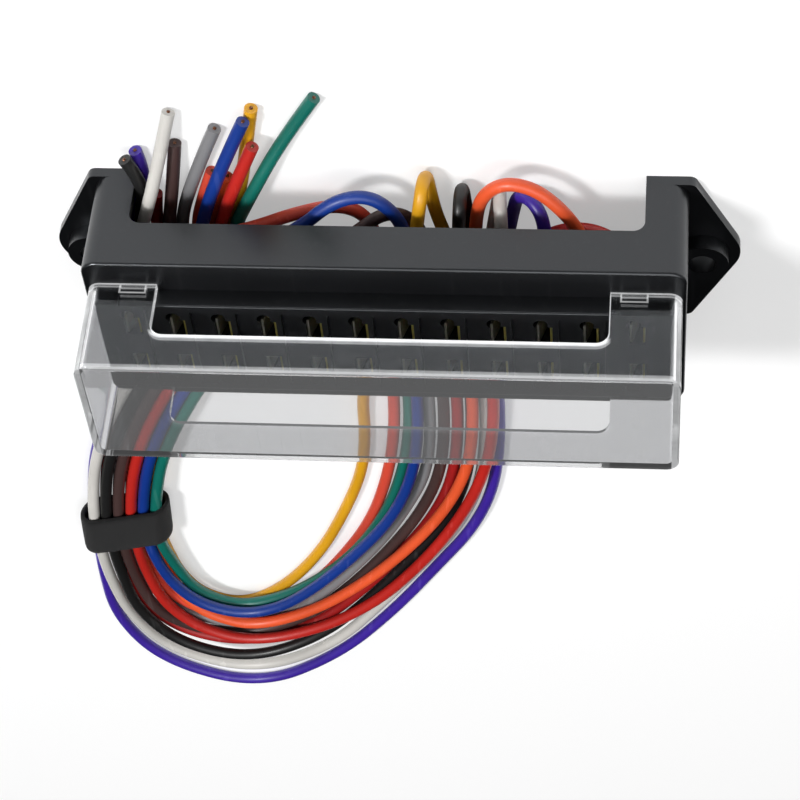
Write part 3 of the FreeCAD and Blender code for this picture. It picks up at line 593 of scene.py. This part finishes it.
def studio_floor(tone, glow):
    """Pale floor: a share of it shines towards the camera, the rest shows the shadow."""
    material, tree, shader = new_material("Studio floor")
    noise = add_node(tree, "ShaderNodeTexNoise", {"Scale": 3.0})
    pale = (tone,) * 3
    set_inputs(tree, shader, {
        "Base Color": colour_ramp(tree, noise.outputs["Fac"], 0.2, 0.8, rgba(pale, 0.99),
                                  rgba(pale)),
        "Roughness": 0.9,
        "Specular IOR Level": 0.1})
    light = add_node(tree, "ShaderNodeEmission", {"Color": WHITE, "Strength": 1.0})
    path = add_node(tree, "ShaderNodeLightPath").outputs
    seen = widest(tree, path["Is Camera Ray"], path["Is Transmission Ray"])
    mix = add_node(tree, "ShaderNodeMixShader", {
        0: math_node(tree, "MULTIPLY", seen, glow), 1: shader.outputs[0], 2: light.outputs[0]})
    tree.links.new(mix.outputs[0], tree.nodes["Material Output"].inputs["Surface"])
    return material


def link_object(name, data):
    piece = bpy.data.objects.new(name, data)
    bpy.context.scene.collection.objects.link(piece)
    return piece


def object_from(name, build, material, body, smooth=True):
    """A mesh object from a function that builds its shape, riding on a body if one is named."""
    mesh = bpy.data.meshes.new(name)
    shape = bmesh.new()
    build(shape)
    bmesh.ops.recalc_face_normals(shape, faces=shape.faces)
    shape.to_mesh(mesh)
    shape.free()
    if smooth:
        mesh.polygons.foreach_set("use_smooth", [True] * len(mesh.polygons))
    mesh.materials.append(material)
    piece = link_object(name, mesh)
    if body:
        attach(piece, body)
    return piece


def lead_curve(name, points, diameter, material):
    """A round cord along the points of a route."""
    curve = bpy.data.curves.new("lead_" + name, "CURVE")
    curve.dimensions = "3D"
    spline = curve.splines.new("NURBS")
    spline.points.add(len(points) - 1)
    for place, point in zip(spline.points, points):
        place.co = (*[v * MM for v in point], 1.0)
    spline.order_u = 3
    spline.use_endpoint_u = True
    spline.resolution_u = 12
    spline.use_smooth = True
    curve.bevel_depth = diameter / 2
    curve.bevel_resolution = 6
    curve.use_fill_caps = True
    curve.materials.append(material)
    return link_object("lead_" + name, curve)


def strand_end(name, tip, before, diameter, material):
    """The cut end of the conductor, a little proud of the insulation's face."""
    tip, before = Vector(tip) * MM, Vector(before) * MM
    along = (tip - before).normalized()
    turn = along.to_track_quat("Z", "Y").to_matrix().to_4x4()

    def build(shape):
        bmesh.ops.create_cone(shape, cap_ends=True, segments=24, radius1=diameter / 2,
                              radius2=diameter / 2 * STRAND_TAPER, depth=STRAND_DEPTH,
                              matrix=Matrix.Translation(tip - along * STRAND_SETBACK) @ turn)

    return object_from("strands_" + name, build, material, "block")


def strap_section(width, height):
    """Closed oval: flat above and below, round at the sides, as points across and up."""
    radius = height / 2
    straight = width - height
    quarter = math.pi * radius
    total = 2 * straight + 2 * quarter
    points = []
    for n in range(STRAP_POINTS):
        s = total * n / STRAP_POINTS
        if s < straight:
            points.append((s - straight / 2, -radius))
        elif s < straight + quarter:
            a = (s - straight) / radius - math.pi / 2
            points.append((straight / 2 + math.cos(a) * radius, math.sin(a) * radius))
        elif s < 2 * straight + quarter:
            points.append((straight / 2 - (s - straight - quarter), radius))
        else:
            a = (s - 2 * straight - quarter) / radius + math.pi / 2
            points.append((-straight / 2 + math.cos(a) * radius, math.sin(a) * radius))
    return points, total


def outer_point(x, z, share, draw_in, width, height, n):
    """A point of the band's outside, drawn in at a rim, dipped between two leads and sagging."""
    flat = abs(z) > height / 2 - 1e-5
    dip = STRAP_DIP * (1 - math.cos(2 * math.pi * x / LEAD_PITCH)) if flat else 0.0
    sag = STRAP_SAG * (1 + math.sin(SAG_ALONG * share + n * SAG_ROUND))
    sunk = math.copysign(min(dip + sag, STRAP_THICKNESS * SUNK_SHARE), z)
    return x * (1 - draw_in / (width / 2)), z * (1 - draw_in / (height / 2)) - sunk


def build_strap(shape, centre):
    """The band follows the leads it holds: it dips a little between them and its rims slant."""
    turned = Matrix.Rotation(STRAP_TURN, 4, "Z")
    slant = math.tan(STRAP_SLANT)
    width = BUNDLE_WIDTH + 2 * STRAP_THICKNESS
    height = BUNDLE_HEIGHT + 2 * STRAP_THICKNESS
    outer, total = strap_section(width, height)
    inner, _ = strap_section(width - 2 * STRAP_THICKNESS, height - 2 * STRAP_THICKNESS)
    uv = shape.loops.layers.uv.new("UVMap")

    def vertex(x, z, share, x_slant):
        place = Vector((x, (share - 0.5) * STRAP_LENGTH + x_slant * slant, z))
        return shape.verts.new(turned @ place + centre)

    rows = []
    for share, draw_in in STRAP_ROWS:
        rows.append([vertex(*outer_point(x, z, share, draw_in, width, height, n), share, x)
                     for n, (x, z) in enumerate(outer)])
    for share in (1.0, 0.0):
        rows.append([vertex(x, z, share, x) for x, z in inner])
    along = [share * STRAP_LENGTH for share, _ in STRAP_ROWS]
    for k, first in enumerate(rows):
        second = rows[(k + 1) % len(rows)]
        v0 = along[k] if k < len(along) else STRAP_LENGTH
        v1 = along[k + 1] if k + 1 < len(along) else STRAP_LENGTH * 1.1
        for n in range(STRAP_POINTS):
            m = (n + 1) % STRAP_POINTS
            face = shape.faces.new((first[n], first[m], second[m], second[n]))
            u0, u1 = total * n / STRAP_POINTS, total * (n + 1) / STRAP_POINTS
            for loop, place in zip(face.loops, ((u0, v0), (u1, v0), (u1, v1), (u0, v1))):
                loop[uv].uv = place


def add_camera(scene, lens):
    camera = link_object("camera", bpy.data.cameras.new("camera"))
    camera.data.lens = lens
    camera.data.sensor_width = SENSOR_WIDTH
    camera.data.clip_start, camera.data.clip_end = CLIP_START, CLIP_END
    turn = Matrix((CAMERA_RIGHT, CAMERA_UP, -CAMERA_LOOK)).transposed().to_4x4()
    camera.matrix_world = Matrix.Translation(CAMERA_PLACE) @ turn
    scene.camera = camera


def add_surroundings(scene, strength):
    """Even light that is dim from the side behind the part."""
    world = bpy.data.worlds.new("studio")
    scene.world = world
    world.use_nodes = True
    tree = world.node_tree
    direction = split_axes(tree, coordinates(tree, "Generated"))
    set_inputs(tree, tree.nodes["Background"], {
        "Color": colour_ramp(tree, direction["Y"], 0.05, 0.45, WHITE, rgba((0.03,) * 3)),
        "Strength": strength})


def add_lamp(name, place, target, width, height, power):
    data = bpy.data.lights.new(name, "AREA")
    data.shape = "RECTANGLE"
    data.size, data.size_y, data.energy = width, height, power
    lamp = link_object(name, data)
    lamp.location = place
    lamp.rotation_mode = "QUATERNION"
    lamp.rotation_quaternion = (Vector(target) - Vector(place)).to_track_quat("-Z", "Y")


class FuseBlockStage(bpy.types.PropertyGroup):
    lens: FloatProperty(
        name="Lens", description="Focal length of the camera, in millimetres",
        default=120.3, min=20.0)
    floor_tone: FloatProperty(
        name="Floor tone", description="How pale the floor is",
        default=0.94, min=0.0, max=1.0)
    floor_glow: FloatProperty(
        name="Floor glow", description="Share of the floor that stays white to the camera",
        default=0.40, min=0.0, max=1.0)
    room: FloatProperty(
        name="Room light", description="Strength of the even light from all sides",
        default=0.30, min=0.0)


class FuseBlockLeads(bpy.types.PropertyGroup):
    diameter: FloatProperty(
        name="Lead diameter", description="Outside diameter of the insulation",
        default=0.0032, min=0.001, unit="LENGTH")
    core: FloatProperty(
        name="Conductor diameter", description="Diameter of the strands at the cut end",
        default=0.0009, min=0.0004, unit="LENGTH")
    roughness: FloatProperty(
        name="Roughness", description="Roughness of the insulation",
        default=0.44, min=0.0, max=1.0)


class FuseBlockPlastics(bpy.types.PropertyGroup):
    black: FloatVectorProperty(
        name="Housing colour", description="Colour of the moulded housing",
        subtype="COLOR", size=3, default=(0.0022, 0.0023, 0.0028), min=0.0, max=1.0)
    black_roughness: FloatProperty(
        name="Housing roughness", description="Roughness of the housing",
        default=0.30, min=0.0, max=1.0)
    clear_roughness: FloatProperty(
        name="Cover roughness", description="Roughness of the clear cover",
        default=0.02, min=0.0, max=1.0)
    # Strength of the painted glow on the cover's edges and cut faces.
    painted_edge_glow: FloatProperty(
        name="Edge light", description="How bright the cover's cut faces look",
        default=0.42, min=0.01)
    # Strength of the painted reflection on the cover's level faces.
    painted_reflection: FloatProperty(
        name="Cover veil", description="Milky light on the cover's level faces",
        default=0.055, min=0.0)
    grain: FloatProperty(
        name="Grain scale", description="How fine the mould texture is",
        default=1100.0, min=1.0)
    band: FloatVectorProperty(
        name="Strap colour", description="Colour of the woven strap",
        subtype="COLOR", size=3, default=(0.0025, 0.0025, 0.0028), min=0.0, max=1.0)


class FUSEBLOCK_OT_stage(bpy.types.Operator):
    """Camera, pale floor and soft studio light"""
    bl_idname = "fuseblock.stage"
    bl_label = "Stage"

    def execute(self, context):
        settings = context.scene.fuse_stage
        scene = context.scene
        scene.view_settings.view_transform = "Standard"
        add_camera(scene, settings.lens)

        def build(shape):
            bmesh.ops.create_grid(shape, x_segments=1, y_segments=1, size=FLOOR_REACH)

        floor = object_from("floor", build, studio_floor(settings.floor_tone, settings.floor_glow),
                            None, smooth=False)
        add_surroundings(scene, settings.room)
        for lamp in LAMPS:
            add_lamp(*lamp)
        return {"FINISHED"}


class FUSEBLOCK_OT_leads(bpy.types.Operator):
    """Twelve insulated leads along their routes, with their bare cut ends"""
    bl_idname = "fuseblock.leads"
    bl_label = "Leads"

    def execute(self, context):
        settings = context.scene.fuse_leads
        strands = copper_strands()
        for name, (length, colour) in LEADS.items():
            points = ROUTES[name]
            material = insulation(name, colour, settings.roughness)
            piece = lead_curve(name, points, settings.diameter, material)
            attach(piece, "block")
            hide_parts("wire_" + name)
            end = strand_end(name, points[-1], points[-2], settings.core, strands)
        return {"FINISHED"}


class FUSEBLOCK_OT_strap(bpy.types.Operator):
    """Woven band wrapped once round the bundle of leads"""
    bl_idname = "fuseblock.strap"
    bl_label = "Strap"

    def execute(self, context):
        low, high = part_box("strap")
        centre = Vector((*STRAP_MIDDLE, (low.z + high.z) / 2))

        def build(shape):
            build_strap(shape, centre)

        material = woven_band(context.scene.fuse_plastics.band, THREAD)
        strap = object_from("band", build, material, "block")
        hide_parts("strap")
        return {"FINISHED"}


class FUSEBLOCK_OT_housing(bpy.types.Operator):
    """Finish of the black moulded housing"""
    bl_idname = "fuseblock.housing"
    bl_label = "Housing"

    def execute(self, context):
        plastics = context.scene.fuse_plastics
        paint_node("housing", black_moulding(plastics.black, plastics.black_roughness,
                                             plastics.grain))
        return {"FINISHED"}


class FUSEBLOCK_OT_cover(bpy.types.Operator):
    """Finish of the clear lift-off cover, with its painted edge glow and painted reflection"""
    bl_idname = "fuseblock.cover"
    bl_label = "Cover"

    def execute(self, context):
        plastics = context.scene.fuse_plastics
        paint_node("cover", clear_moulding(plastics.clear_roughness, plastics.painted_edge_glow,
                                           plastics.painted_reflection))
        return {"FINISHED"}


class FUSEBLOCK_OT_contacts(bpy.types.Operator):
    """Tinned brass on the blade clips and the bus bar"""
    bl_idname = "fuseblock.contacts"
    bl_label = "Contacts"

    def execute(self, context):
        metal = tinned_brass(WAY_PITCH)
        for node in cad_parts:
            if node.startswith("terminal_") or node == "bus_bar":
                paint_node(node, metal)
        return {"FINISHED"}


class FUSEBLOCK_PT_panel(bpy.types.Panel):
    bl_label = "Fuse Block"
    bl_space_type = "VIEW_3D"
    bl_region_type = "UI"
    bl_category = "Fuse Block"

    def draw(self, context):
        layout = self.layout
        scene = context.scene
        for group in (scene.fuse_stage, scene.fuse_leads, scene.fuse_plastics):
            box = layout.box()
            for key in group.__annotations__:
                box.prop(group, key)
        for operator in OPERATORS:
            layout.operator(operator.bl_idname)


OPERATORS = (FUSEBLOCK_OT_stage, FUSEBLOCK_OT_leads, FUSEBLOCK_OT_strap, FUSEBLOCK_OT_housing,
             FUSEBLOCK_OT_cover, FUSEBLOCK_OT_contacts)
CLASSES = (FuseBlockStage, FuseBlockLeads, FuseBlockPlastics, *OPERATORS, FUSEBLOCK_PT_panel)


def register():
    for cls in CLASSES:
        bpy.utils.register_class(cls)
    bpy.types.Scene.fuse_stage = PointerProperty(type=FuseBlockStage)
    bpy.types.Scene.fuse_leads = PointerProperty(type=FuseBlockLeads)
    bpy.types.Scene.fuse_plastics = PointerProperty(type=FuseBlockPlastics)


def unregister():
    del bpy.types.Scene.fuse_plastics
    del bpy.types.Scene.fuse_leads
    del bpy.types.Scene.fuse_stage
    for cls in reversed(CLASSES):
        bpy.utils.unregister_class(cls)


def main():
    register()
    bpy.ops.fuseblock.stage()
    bpy.ops.fuseblock.leads()
    bpy.ops.fuseblock.strap()
    bpy.ops.fuseblock.housing()
    bpy.ops.fuseblock.cover()
    bpy.ops.fuseblock.contacts()


if __name__ == "__main__":
    main()
